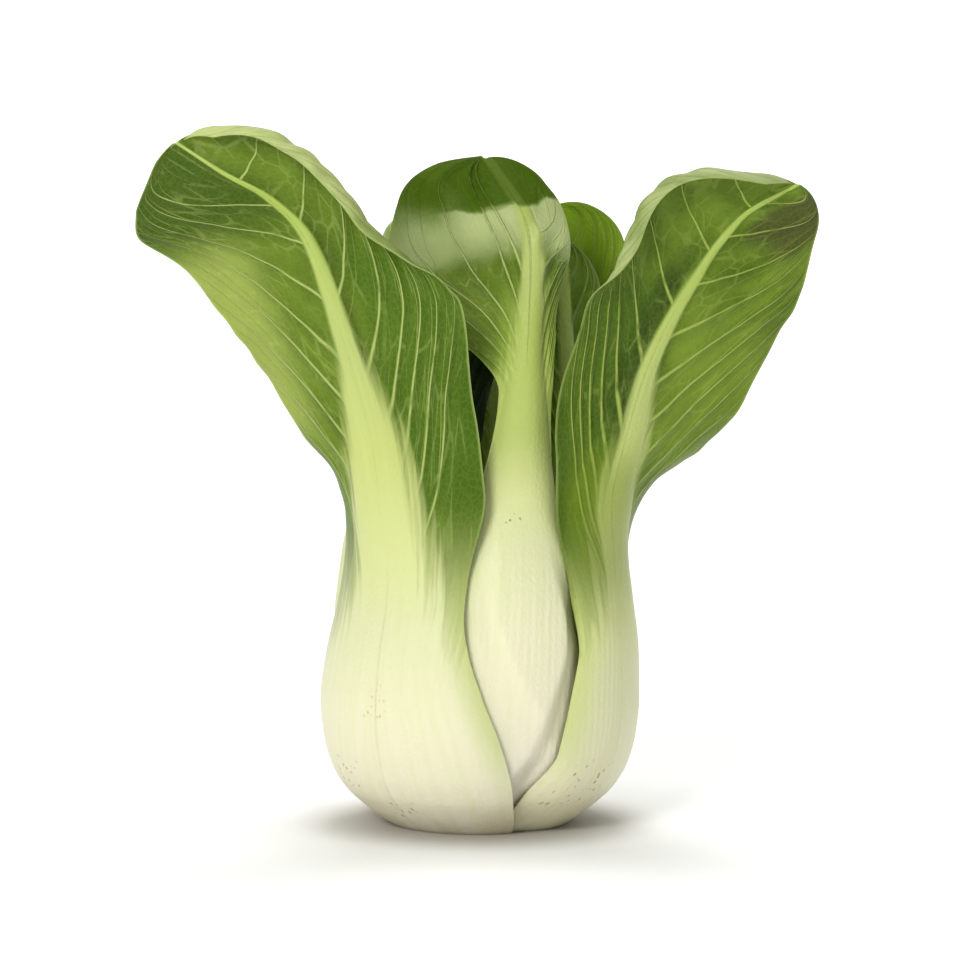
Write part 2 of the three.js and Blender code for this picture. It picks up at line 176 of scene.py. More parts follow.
def ribAt(blade, along):
    marks, points = blade["marks"], blade["points"]
    last = len(marks) - 1
    i = np.clip(np.searchsorted(marks, along, side="left") - 1, 0, last - 1)
    before = np.maximum(np.arange(last + 1) - 1, 0)
    after = np.minimum(np.arange(last + 1) + 1, last)
    tangent = (points[after] - points[before]) / (marks[after] - marks[before])[:, None]
    span = (marks[i + 1] - marks[i])[:, None]
    u = (along[:, None] - marks[i][:, None]) / span
    a, b = tangent[i] * span, tangent[i + 1] * span
    step = points[i + 1] - points[i]
    square = 3 * step - 2 * a - b
    cube = a + b - 2 * step
    point = points[i] + a * u + square * u ** 2 + cube * u ** 3
    return point, unit(a + 2 * square * u + 3 * cube * u ** 2)


def halfWidths(leaf, blade, along, t):
    share = np.clip((along - blade["length"] + leaf["tip"]) / leaf["tip"], 0, 1)
    rounding = np.sqrt(1 - share ** 2.3 + 0.0015)
    sides = [through(blade[name]["half"], along) for name in ("left", "right")]
    return np.where(t < 0, sides[0], sides[1]) * rounding


# The inner face of a blade. along is a column of distances, t a row of shares of the half width.
def bladeFace(leaf, blade, along, t):
    far = along[:, 0]
    point = ribAt(blade, far)[0]
    turnsTo, after = leaf.get("rowTurn", (blade["length"], 1))
    direction = ribAt(blade, np.minimum(far, turnsTo) + np.maximum(0, far - turnsTo) * after)[1]
    turn = through(blade["facing"], far) * degree
    rise = np.tan(leaf.get("tilt", 0) * degree) * smooth(115, 150, far)
    sideways = np.stack([-np.sin(turn), np.cos(turn), rise], axis=-1)
    if "tilt" not in leaf:
        sideways = sideways - direction * np.sum(sideways * direction, axis=-1, keepdims=True)
    sideways = unit(sideways)
    outward = unit(np.cross(sideways, direction))
    side = np.where(t < 0, -1, 1)
    width = halfWidths(leaf, blade, along, t)
    bends = [through(blade[name]["bend"], along) for name in ("left", "right")]
    bend = np.where(t < 0, bends[0], bends[1])
    fold = np.where(t < 0, 0, through(blade["fold"], along))
    rim = leaf.get("rim", {"side": 0, "from": 400, "over": 1, "width": 1, "turn": 0})
    rolls = (side == rim["side"]) | (rim["side"] == 0)
    roll = rolls * rim["turn"] * degree * smooth(rim["from"], rim["from"] + rim["over"], along)
    rimWidth = np.minimum(rim["width"], 0.6 * width)
    steps = 24
    aside = 0
    depth = -thicknessAt(leaf, along, 0 * t, width)
    for k in range(steps):
        share = (k + 0.5) / steps * np.abs(t)
        rimTurn = roll * (1 - smooth(0, rimWidth, (1 - share) * width))
        slope = fold * smooth(0, 0.3, share) + bend * share - rimTurn
        aside = aside + np.cos(slope) * width * np.abs(t) / steps
        depth = depth - np.sin(slope) * width * np.abs(t) / steps
    size, count, phase = leaf["wave"]
    waveStart = head["neckEnd"]
    angle = 2 * np.pi * count * (along - waveStart) / (blade["length"] - waveStart) + phase + side
    swing = size * smooth(80, 112, along) * smooth(0, 12, width)
    depth = depth + swing * np.abs(t) ** 3 * np.sin(angle)
    place = point[:, None] + sideways[:, None] * (side * aside)[..., None]
    return place + outward[:, None] * depth[..., None], width


# Number of the vein that passes each place, in whole numbers on the veins, and the millimetres
# from one vein to the next there.
def veinField(leaf, along, t, faces):
    phase = np.zeros(faces.shape[:2])
    scale = np.ones_like(phase)
    reached = np.zeros_like(phase)
    steps = [np.maximum(np.linalg.norm(np.gradient(faces, axis=axis), axis=-1), 0.02) for axis in (0, 1)]
    for side, name in ((-1, "leftVeins"), (1, "rightVeins")):
        starts = np.array([start for start, _ in leaf[name]], float)
        reach = np.array([value for _, value in leaf[name]], float)
        count = len(starts)
        starts = np.concatenate([[2 * starts[0] - starts[1]], starts, [2 * starts[-1] - starts[-2]]])
        reach = np.concatenate([[2 * reach[0] - reach[1]], reach, reach[-1:]])
        k = np.linspace(-1, count, 20 * count)
        start = through(list(zip(range(-1, count + 1), starts)), k)
        long = through(list(zip(range(-1, count + 1), reach)), k)
        number = np.empty_like(phase)
        for j, w in enumerate(np.abs(t[0])):
            height = np.maximum.accumulate(start + long * (0.75 * w + 0.25 * w * w))
            number[:, j] = np.interp(along[:, 0], height, k)
        slopes = [np.gradient(number, axis=axis) / steps[axis] for axis in (0, 1)]
        here = np.sign(t) == side
        phase = np.where(here, number, phase)
        scale = np.where(here, 1 / np.maximum(np.hypot(*slopes), 1 / 30), scale)
        reached = np.where(here, (number > -0.45) & (number < count - 0.55), reached)
    return phase, scale, reached


def leafFaces(leaf, outside, along, t):
    blade = bladeOf(leaf, outside)
    finish = bladeFinish
    free, width = bladeFace(leaf, blade, np.maximum(finish["readAt"][0], along), t)
    normal = unit(np.cross(np.gradient(free, axis=1), np.gradient(free, axis=0)))
    steady = np.count_nonzero(along[:, 0] < blade["length"] - finish["tipRows"]) - 1
    normal[steady:] = normal[steady]
    thickness = thicknessAt(leaf, along, t, width)
    mix = smooth(head["neckStart"], head["neckEnd"], along)
    height = np.minimum(along, head["neckEnd"] + 12)
    angle = leaf["angle"] + t * halfSpan(leaf, t, height)
    radius = outerRadius(leaf, outside, angle, height)
    direction = np.stack([np.cos(angle * degree), np.sin(angle * degree), 0 * angle], axis=-1)
    axis = np.stack([through(head["lean"], height), 0 * height, height], axis=-1)

    phase, scale, reached = veinField(leaf, along, t, free)
    far = np.abs(t)
    blades = smooth(70, 105, along)
    toEdge = np.minimum((1 - far) * width, np.maximum(blade["length"] - along, 0) * 1.6 + 0.2)
    veinHalf = reached * (0.78 - 0.64 * far ** 0.7) * (1 - 0.45 * smooth(105, 165, along))
    distance = np.abs(phase - np.round(phase)) * scale
    pale = far * width / (through(finish["paleHalf"], along) * leaf["stalk"])
    green = smooth(0.7, 1.5, pale)
    ridge = finish["ridge"] * veinHalf * np.exp(-(distance / 0.8) ** 2)
    puff = finish["puff"] * reached * np.cos(2 * np.pi * phase) * smooth(0, 5, toEdge)
    wander = along / finish["ruffleLength"] + 0.35 * np.sin(along / 9 + leaf["angle"])
    ruffle = finish["ruffle"] * far ** 5 * np.sin(2 * np.pi * wander + np.sign(t)) * np.sin(along / 17)
    swell = np.sin(along / 11 + t * 3 + leaf["angle"]) * np.sin(along / 17 - t * 5)
    loose = ruffle + finish["unevenness"] * far * swell * smooth(95, 125, along)
    relief = blades * (green * (ridge + puff) + loose * smooth(0, 12, width))

    outerFree = free + normal * (thickness + relief)[..., None]
    thin = np.maximum(finish["thinnest"], thickness - finish["trim"] * blades)
    thin = thin * (1 - 0.45 * blades * (1 - smooth(0, 1.5, toEdge)))
    innerFree = outerFree - normal * thin[..., None]
    fibre = 0.04 * np.sin(angle * 2.3 + np.sin(height / 19) * 2) * (1 - far ** 4) * smooth(6, 20, along)
    depth = stalkDepth(leaf, t, height)
    mix = mix[..., None]
    outer = (axis[:, :] + direction * (radius + fibre)[..., None]) * (1 - mix) + outerFree * mix
    inner = (axis[:, :] + direction * (radius - depth)[..., None]) * (1 - mix) + innerFree * mix
    zones = {
        "place": (t * width, along + 0 * t, toEdge),
        "veins": (phase, scale, veinHalf),
        "pale": pale,
    }
    return outer, inner, zones


builtLeaves = []


# One closed leaf: a flat grid is lifted into a slab, whose points then take their places.
def makeLeaf(leaf):
    columns, rows = leaf["grid"]
    bm = bmesh.new()
    bmesh.ops.create_grid(bm, x_segments=columns, y_segments=rows, size=1)
    lifted = bmesh.ops.extrude_face_region(bm, geom=bm.faces[:], use_keep_orig=True)["geom"]
    bmesh.ops.translate(bm, verts=[v for v in lifted if isinstance(v, bmesh.types.BMVert)], vec=(0, 0, 1))
    bmesh.ops.recalc_face_normals(bm, faces=bm.faces[:])
    for face in bm.faces:
        face.smooth = True
    mesh = bpy.data.meshes.new(leaf["name"])
    bm.to_mesh(mesh)
    bm.free()
    flat = np.empty(len(mesh.vertices) * 3)
    mesh.vertices.foreach_get("co", flat)
    flat = flat.reshape(-1, 3)
    xs = np.unique(flat[:, 0].round(5))
    ys = np.unique(flat[:, 1].round(5))
    j = np.searchsorted(xs, flat[:, 0].round(5))
    i = np.searchsorted(ys, flat[:, 1].round(5))
    isOuter = flat[:, 2] > 0.5

    length = bladeOf(leaf, builtLeaves)["length"]
    t = (xs * (1.12 - 0.12 * xs ** 2))[None, :]
    v = (ys + 1) / 2
    body = length - leaf["tip"]
    bodyPart = 0.8
    tipShare = np.sin(np.clip((v - bodyPart) / (1 - bodyPart), 0, 1) * np.pi / 2)
    start = leaf["start"]
    along = np.where(v < bodyPart, start + (body - start) * v / bodyPart, body + leaf["tip"] * tipShare)
    outer, inner, zones = leafFaces(leaf, builtLeaves, along[:, None], t)
    spots = np.where(isOuter[:, None], outer[i, j], inner[i, j]) * millimetre
    mesh.vertices.foreach_set("co", spots.ravel())
    for name in ("place", "veins"):
        layer = mesh.attributes.new(name, "FLOAT_VECTOR", "POINT")
        values = np.stack([np.broadcast_to(part, outer.shape[:2])[i, j] for part in zones[name]], axis=-1)
        layer.data.foreach_set("vector", values.ravel())
    mesh.attributes.new("pale", "FLOAT", "POINT").data.foreach_set("value", zones["pale"][i, j])
    mesh.attributes.new("innerSide", "FLOAT", "POINT").data.foreach_set("value", 1.0 - isOuter)
    mesh.set_sharp_from_angle(angle=60 * degree)
    mesh.update()
    piece = bpy.data.objects.new(leaf["name"] + "_dressed", mesh)
    bpy.context.scene.collection.objects.link(piece)
    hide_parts(leaf["name"])
    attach(piece, "root")
    piece.data.materials.append(leafMaterial(leaf))
    builtLeaves.append(leaf)
    print("made", leaf["name"], len(mesh.polygons), "faces")


# Helpers that add shader nodes. iN in inputs is the socket numbered N.

def addNode(tree, kind, settings=None, **inputs):
    node = tree.nodes.new(kind)
    for name, value in (settings or {}).items():
        setattr(node, name, value)
    for name, value in inputs.items():
        socket = node.inputs[int(name[1:])] if name[1:].isdigit() else node.inputs[name]
        if isinstance(value, bpy.types.NodeSocket):
            tree.links.new(value, socket)
        else:
            socket.default_value = value
    return node


def maths(tree, operation, a, b=0.0, clamp=False):
    settings = {"operation": operation, "use_clamp": clamp}
    return addNode(tree, "ShaderNodeMath", settings, i0=a, i1=b).outputs[0]


def times(tree, a, b):
    return maths(tree, "MULTIPLY", a, b)


def ramped(tree, value, low, high, toLow=0.0, toHigh=1.0):
    settings = {"interpolation_type": "SMOOTHSTEP"}
    node = addNode(tree, "ShaderNodeMapRange", settings, i0=value, i1=low, i2=high, i3=toLow, i4=toHigh)
    return node.outputs[0]


def mixed(tree, share, a, b, blend="MIX"):
    settings = {"data_type": "RGBA", "blend_type": blend}
    return addNode(tree, "ShaderNodeMix", settings, i0=share, i6=a, i7=b).outputs[2]


def mixedValue(tree, share, a, b):
    return addNode(tree, "ShaderNodeMix", {"data_type": "FLOAT"}, i0=share, i2=a, i3=b).outputs[0]


def noise(tree, vector, scale, detail=2.0):
    node = addNode(tree, "ShaderNodeTexNoise", None, Vector=vector, Scale=scale, Detail=detail)
    return node.outputs[0]


def colour(*rgb):
    return (*rgb, 1.0)


# Distance in millimetres to the nearest vein, and a soft line where it is.
def veinLine(tree, phase, gap, half):
    fraction = maths(tree, "FRACT", maths(tree, "ADD", phase, 0.5))
    away = times(tree, maths(tree, "ABSOLUTE", maths(tree, "SUBTRACT", fraction, 0.5)), gap)
    return away, ramped(tree, maths(tree, "DIVIDE", away, half), 0.3, 1.4, 1.0, 0.0)


# 1 between the inner two of four rising values, fading to 0 at the outer two.
def window(tree, value, corners):
    a, b, c, d = corners
    return times(tree, ramped(tree, value, a, b), ramped(tree, value, c, d, 1.0, 0.0))


# The pattern that every leaf shares: veins, the net between them, fibres, dots, the painted highlight
# along the rim and the painted shade beside the veins.
def leafPatternGroup():
    tree = bpy.data.node_groups.new("leafPattern", "ShaderNodeTree")
    defaults = {"Net Cells": 2.6, "Fibre Width": 2.0, "Pale Width": 1.0, "Pale Shift": 0.0}
    for name, value in defaults.items():
        socket = tree.interface.new_socket(name=name, in_out="INPUT", socket_type="NodeSocketFloat")
        socket.default_value = value
    for name in ("Vein", "Net", "Rim", "Fibre", "Mottle", "Pillow", "Dots", "Pale", "Inner",
                 "Height", "Along", "Side", "Edge"):
        tree.interface.new_socket(name=name, in_out="OUTPUT", socket_type="NodeSocketFloat")
    given = addNode(tree, "NodeGroupInput").outputs
    place = addNode(tree, "ShaderNodeAttribute", {"attribute_name": "place"}).outputs["Vector"]
    veins = addNode(tree, "ShaderNodeAttribute", {"attribute_name": "veins"}).outputs["Vector"]
    pale = addNode(tree, "ShaderNodeAttribute", {"attribute_name": "pale"}).outputs["Fac"]
    inner = addNode(tree, "ShaderNodeAttribute", {"attribute_name": "innerSide"}).outputs["Fac"]
    side, along, toEdge = addNode(tree, "ShaderNodeSeparateXYZ", None, i0=place).outputs
    phase, gap, half = addNode(tree, "ShaderNodeSeparateXYZ", None, i0=veins).outputs

    wander = times(tree, maths(tree, "SUBTRACT", noise(tree, place, 0.08, 1.0), 0.5), 0.16)
    bent = maths(tree, "ADD", phase, wander)
    aside = maths(tree, "ABSOLUTE", side)
    outward = maths(tree, "DIVIDE", aside, maths(tree, "ADD", aside, toEdge))
    branched = maths(tree, "SUBTRACT", bent, ramped(tree, outward, 0.42, 0.95, 0.0, 0.5))
    away, main = veinLine(tree, bent, gap, half)
    branch = veinLine(tree, branched, gap, times(tree, half, 0.7))[1]
    branch = times(tree, branch, ramped(tree, outward, 0.45, 0.6, 0.0, 0.5))
    vein = times(tree, maths(tree, "MAXIMUM", main, branch), ramped(tree, half, 0.02, 0.14))
    vein = times(tree, vein, ramped(tree, noise(tree, place, 0.13), 0.3, 0.5, 0.45, 1.0))

    cellX = times(tree, bent, given["Net Cells"])
    cellY = times(tree, side, 0.2)
    cells = addNode(tree, "ShaderNodeCombineXYZ", None, X=cellX, Y=cellY).outputs[0]
    toBorder = {"feature": "DISTANCE_TO_EDGE"}
    wide = addNode(tree, "ShaderNodeTexVoronoi", toBorder, Vector=cells, Scale=1.0)
    fine = addNode(tree, "ShaderNodeTexVoronoi", toBorder, Vector=place, Scale=0.55)
    wideLine = ramped(tree, wide.outputs[0], 0.015, 0.075, 1.0, 0.0)
    fineLine = ramped(tree, fine.outputs[0], 0.02, 0.16, 1.0, 0.0)
    fade = ramped(tree, noise(tree, place, 0.09), 0.36, 0.6)
    net = maths(tree, "ADD", times(tree, wideLine, fade), times(tree, fineLine, 0.3))

    stretched = addNode(tree, "ShaderNodeCombineXYZ", None,
                        X=maths(tree, "DIVIDE", side, given["Fibre Width"]),
                        Y=times(tree, along, 0.025)).outputs[0]
    fibre = noise(tree, stretched, 1.0, 3.0)
    mottle = noise(tree, place, 0.07, 3.0)
    shift = times(tree, given["Pale Shift"], ramped(tree, along, 95.0, 125.0, 1.0, 0.12))
    centred = maths(tree, "ABSOLUTE", maths(tree, "SUBTRACT", side, shift))
    shifted = maths(tree, "DIVIDE", centred, times(tree, aside, given["Pale Width"]))
    softPale = times(tree, pale, shifted)
    softPale = maths(tree, "ADD", softPale, times(tree, maths(tree, "SUBTRACT", fibre, 0.5), 1.3))
    paleShare = ramped(tree, softPale, 0.55, 1.3, 1.0, 0.0)
    lower = ramped(tree, along, 46.0, 84.0, 1.0, 0.0)
    lower = times(tree, lower, ramped(tree, fibre, 0.3, 0.7, 0.6, 1.0))
    paleShare = maths(tree, "MAXIMUM", paleShare, lower)

    cell = addNode(tree, "ShaderNodeTexVoronoi", {"feature": "F1"}, Vector=place, Scale=0.9)
    tint = addNode(tree, "ShaderNodeSeparateColor", None, i0=cell.outputs["Color"]).outputs[0]
    reach = ramped(tree, tint, 0.35, 1.0, 0.02, 0.52)
    dots = ramped(tree, maths(tree, "SUBTRACT", cell.outputs["Distance"], reach), -0.16, 0.04, 1.0, 0.0)

    # A painted highlight along the margin, from 60 mm up the leaf.
    rim = ramped(tree, toEdge, 0.15, 0.75, 1.0, 0.0)
    rim = times(tree, rim, ramped(tree, along, 60.0, 90.0))
    proud = times(tree, vein, maths(tree, "SUBTRACT", 0.32, times(tree, inner, 0.5)))
    proud = times(tree, proud, maths(tree, "SUBTRACT", 1.0, paleShare))
    rough = times(tree, noise(tree, place, 0.9, 1.0), 0.14)
    net = times(tree, net, maths(tree, "SUBTRACT", 1.0, paleShare))
    net = times(tree, net, ramped(tree, aside, 0.3, 0.8))
    height = maths(tree, "ADD", maths(tree, "ADD", proud, rough), times(tree, net, 0.08))
    height = maths(tree, "ADD", height, times(tree, fibre, times(tree, paleShare, 0.14)))
    made = {
        "Vein": vein, "Net": net, "Rim": rim, "Fibre": fibre, "Mottle": mottle, "Dots": dots,
        "Pillow": ramped(tree, maths(tree, "DIVIDE", away, gap), 0.0, 0.5), "Pale": paleShare,
        "Inner": inner, "Height": height, "Along": along, "Side": side, "Edge": toEdge,
    }
    addNode(tree, "NodeGroupOutput", None, **made)
    return tree


leafPattern = leafPatternGroup()
leafShine = {"stalk": 0.36, "blade": 0.42, "inner": 0.36, "specular": 0.13}

# Colours of the stalk by distance along the leaf, from the cut up the midrib.
rampLength = 200
stalkRamp = [
    (0, (0.79, 0.75, 0.63)), (9, (0.79, 0.755, 0.58)), (32, (0.77, 0.755, 0.52)),
    (54, (0.68, 0.70, 0.41)), (68, (0.62, 0.66, 0.30)), (97, (0.50, 0.56, 0.175)),
    (125, (0.42, 0.50, 0.15)), (160, (0.35, 0.46, 0.09)),
]


# A patch of another colour on the outer side: real specks and bruises, and painted shade and painted
# light. side and along give its four corners each way.
def patchedWithSpecksAndPaintedLight(tree, pattern, skin, patch):
    wobble = times(tree, maths(tree, "SUBTRACT", pattern["Mottle"], 0.5), 7.0)
    where = window(tree, maths(tree, "ADD", pattern["Along"], wobble), patch["along"])
    where = times(tree, where, window(tree, pattern["Side"], patch["side"]))
    if patch.get("dotted"):
        where = times(tree, where, pattern["Dots"])
    where = times(tree, where, maths(tree, "SUBTRACT", patch["share"], pattern["Inner"], True))
    return mixed(tree, where, skin, colour(*patch["colour"]))


def leafMaterial(leaf):
    material = bpy.data.materials.new(leaf["name"] + "_skin")
    material.use_nodes = True
    tree = material.node_tree
    tree.nodes.clear()
    look = leaf["look"]
    group = addNode(tree, "ShaderNodeGroup", {"node_tree": leafPattern})
    group.inputs["Pale Width"].default_value = look["paleWidth"]
    group.inputs["Pale Shift"].default_value = look.get("paleShift", 0.0)
    pattern = group.outputs

    greened = maths(tree, "ADD", pattern["Along"], look["greener"])
    share = maths(tree, "DIVIDE", greened, rampLength)
    ramp = addNode(tree, "ShaderNodeValToRGB", None, i0=share)
    stops = ramp.color_ramp.elements
    for distance, rgb in stalkRamp:
        stop = stops.new(distance / rampLength)
        stop.color = colour(*rgb)
    stops.remove(stops[0])
    stops.remove(stops[-1])
    stalk = mixed(tree, ramped(tree, pattern["Fibre"], 0.35, 0.75, 0.0, 0.2),
                  ramp.outputs[0], colour(0.58, 0.66, 0.26))
    lips = ramped(tree, pattern["Edge"], 8.0, 0.0)
    lips = times(tree, lips, window(tree, pattern["Along"], (8, 30, 70, 100)))
    stalk = mixed(tree, times(tree, lips, 0.6), stalk, colour(0.48, 0.57, 0.16))
    foot = ramped(tree, pattern["Along"], 14.0, 0.0)
    foot = times(tree, foot, ramped(tree, pattern["Mottle"], 0.4, 0.6))
    stalk = mixed(tree, times(tree, foot, 0.4), stalk, colour(0.60, 0.50, 0.28))

    # Tone: random mottle, plus painted shade beside the veins, lighter midway between them.
    tone = times(tree, ramped(tree, pattern["Mottle"], 0.32, 0.68), 0.6)
    tone = maths(tree, "ADD", tone, times(tree, pattern["Pillow"], 0.4))
    blade = mixed(tree, tone, colour(*look["dark"]), colour(*look["light"]))
    blade = mixed(tree, times(tree, pattern["Inner"], 0.85), blade, colour(*look["inner"]))
    # Painted highlight on the inner side near the margin, where the rim curls up towards the light.
    rolledHighlight = times(tree, ramped(tree, pattern["Edge"], 9.0, 4.0), pattern["Inner"])
    start, full = look.get("rolledFrom", (115, 135))
    rolledHighlight = times(tree, rolledHighlight, ramped(tree, pattern["Along"], start, full, 0.15, 1.0))
    rolledHighlight = times(tree, rolledHighlight, ramped(tree, pattern["Mottle"], 0.3, 0.6, 0.55, 1.0))
    blade = mixed(tree, rolledHighlight, blade, colour(*look.get("rolledHighlight", look["inner"])))
    # Painted shade and painted light, laid under the veins: darker patches where shade falls, lighter
    # ones and sheen where light falls.
    for paintedLightPatch in leaf.get("paintedShadeAndLight", []):
        blade = patchedWithSpecksAndPaintedLight(tree, pattern, blade, paintedLightPatch)
    blade = mixed(tree, times(tree, pattern["Net"], 0.17), blade, colour(*look["vein"]))
    skin = mixed(tree, pattern["Pale"], blade, stalk)
    veined = times(tree, pattern["Vein"], maths(tree, "SUBTRACT", 0.9, pattern["Pale"], True))
    veined = times(tree, veined, 0.85)
    skin = mixed(tree, veined, skin, colour(*look["vein"]))
    # The painted highlight along the margin, in the look's edge colour.
    skin = mixed(tree, times(tree, pattern["Rim"], look.get("rim", 0.5)), skin, colour(*look["edge"]))
    # Patches over the veins: real specks and bruises where dotted, and painted shade.
    for patch in leaf.get("marks", []):
        skin = patchedWithSpecksAndPaintedLight(tree, pattern, skin, patch)
    cutFace = ramped(tree, pattern["Along"], 0.0, 0.12, 1.0, 0.0)
    skin = mixed(tree, cutFace, skin, colour(0.84, 0.79, 0.58))

    bladeShine = mixedValue(tree, pattern["Inner"], leafShine["blade"], leafShine["inner"])
    shine = mixedValue(tree, pattern["Pale"], bladeShine, leafShine["stalk"])
    uneven = times(tree, maths(tree, "SUBTRACT", pattern["Mottle"], 0.5), 0.25)
    shine = maths(tree, "ADD", shine, uneven)
    height = pattern["Height"]
    bump = addNode(tree, "ShaderNodeBump", None, Strength=1.0, Distance=millimetre, Height=height)
    shader = addNode(tree, "ShaderNodeBsdfPrincipled", None, **{"Base Color": skin, "Roughness": shine})
    tree.links.new(bump.outputs[0], shader.inputs["Normal"])
    shader.inputs["Specular IOR Level"].default_value = leafShine["specular"]
    addNode(tree, "ShaderNodeOutputMaterial", None, Surface=shader.outputs[0])
    return material


# In each look, edge is the colour of the painted highlight along the margin, and the rolled colour is the
# inner side lifted by a painted highlight where the rim curls up.
outerLook = {
    "dark": (0.070, 0.125, 0.004), "light": (0.13, 0.21, 0.014), "inner": (0.08, 0.14, 0.008),
    "vein": (0.44, 0.54, 0.15), "edge": (0.40, 0.50, 0.16), "rolledHighlight": (0.47, 0.54, 0.21),
    "rolledFrom": (132, 172), "greener": 0, "paleWidth": 1, "paleShift": -0.5,
}
rightLook = {
    "dark": (0.055, 0.105, 0.002), "light": (0.13, 0.21, 0.014), "inner": (0.07, 0.13, 0.006),
    "vein": (0.36, 0.46, 0.09), "edge": (0.30, 0.38, 0.10), "rolledHighlight": (0.36, 0.43, 0.17),
    "greener": 12, "paleWidth": 0.8, "paleShift": 3.0,
}
middleLook = {
    "dark": (0.060, 0.115, 0.004), "light": (0.12, 0.19, 0.010), "inner": (0.04, 0.08, 0.003),
    "vein": (0.46, 0.56, 0.17), "edge": (0.34, 0.44, 0.12), "greener": -20, "paleWidth": 1.8,
}
shadedLook = {
    "dark": (0.075, 0.140, 0.004), "light": (0.14, 0.24, 0.012), "inner": (0.05, 0.10, 0.003),
    "vein": (0.28, 0.38, 0.08), "edge": (0.34, 0.44, 0.12), "greener": 6, "paleWidth": 1,
}
lobeLook = {
    "dark": (0.080, 0.160, 0.003), "light": (0.15, 0.26, 0.008), "inner": (0.18, 0.31, 0.006),
    "vein": (0.24, 0.34, 0.06), "edge": (0.20, 0.30, 0.05), "greener": 6, "paleWidth": 1,
}
heartLook = {
    "dark": (0.18, 0.27, 0.035), "light": (0.28, 0.38, 0.070), "inner": (0.20, 0.30, 0.05),
    "vein": (0.50, 0.58, 0.24), "edge": (0.46, 0.55, 0.20), "greener": 0, "paleWidth": 1,
}

# Veins are (where along the midrib each leaves it, how much further up it is at the margin).
plainVeins = [(58, 66), (72, 62), (86, 56), (100, 48), (114, 38), (127, 28), (139, 20), (149, 14)]
plainVeinsLater = [(64, 64), (79, 59), (93, 52), (107, 43), (121, 33), (133, 24), (144, 17)]

leafFrontLeft = {
    "name": "leaf_front_left",
    "slot": "leaf",
    "angle": -128,
    "start": 0,
    "spread": [1, 1.5],
    "thickness": 5.4,
    "stalk": 1,
    "rib": [
        (-24.6, -32, 86), (-26.8, -34, 102.6), (-33.6, -37, 127.5), (-42.3, -40, 151),
        (-51, -42, 160.5), (-62.5, -43, 167), (-73.5, -44, 174.2),
    ],
    "facing": [-116, -106, -100, -98, -98, -98, -98],
    "right": [25.5, 25.5, 30.5, 21, 23, 28, 34],
    "left": [20, 22, 26.7, 33, 36, 29, 22],
    "rightBend": [0.5, 0.35, 0.2, 0.15, 0.1, 0.1, 0.1],
    "leftBend": [1, 0.7, 0.45, 0.35, 0.3, 0.3, 0.3],
    "wave": [1.3, 2.6, 0.4],
    "tip": 27,
    "rowTurn": (140, 0.35),
    "rim": {"side": 1, "from": 122, "over": 34, "width": 10, "turn": 150},
    "grid": (120, 200),
    "rightVeins": [
        (44, 90), (60, 90), (76, 88), (93, 80), (113, 66), (136, 46), (158, 28), (176, 16),
    ],
    "leftVeins": [
        (50, 62), (67, 64), (84, 64), (101, 64), (118, 59), (136, 48), (152, 37), (165, 27),
    ],
    "paintedShadeAndLight": [
        # Painted shade in the valley just right of the midrib.
        {"side": (1.4, 2.4, 3, 6.5), "along": (104, 122, 150, 168), "share": 0.5,
         "colour": (0.03, 0.06, 0.002)},
        # Painted shade over the top of the blade, past the curl.
        {"side": (-50, -40, -4, 6), "along": (150, 170, 210, 220), "share": 0.85,
         "colour": (0.035, 0.075, 0.001)},
        # Painted sheen: the left wing made lighter where it catches the light.
        {"side": (-50, -44, -22, -10), "along": (92, 112, 150, 168), "share": 0.6,
         "colour": (0.38, 0.46, 0.10)},
        # Painted shade on the right wing, which faces away from the key light.
        {"side": (3, 8, 30, 40), "along": (70, 90, 140, 160), "share": 0.7,
         "colour": (0.045, 0.11, 0.001)},
    ],
    "marks": [
        {"side": (-17, -14, -8, -5), "along": (9, 12, 18, 22), "share": 0.7,
         "colour": (0.36, 0.25, 0.09), "dotted": True},
        {"side": (-4, -2, 3, 5), "along": (3, 4, 8, 10), "share": 0.7,
         "colour": (0.40, 0.29, 0.12), "dotted": True},
        {"side": (-5, -3, 1, 3), "along": (30, 32, 38, 41), "share": 0.6,
         "colour": (0.48, 0.40, 0.16), "dotted": True},
    ],
    "look": outerLook,
}
makeLeaf(leafFrontLeft)

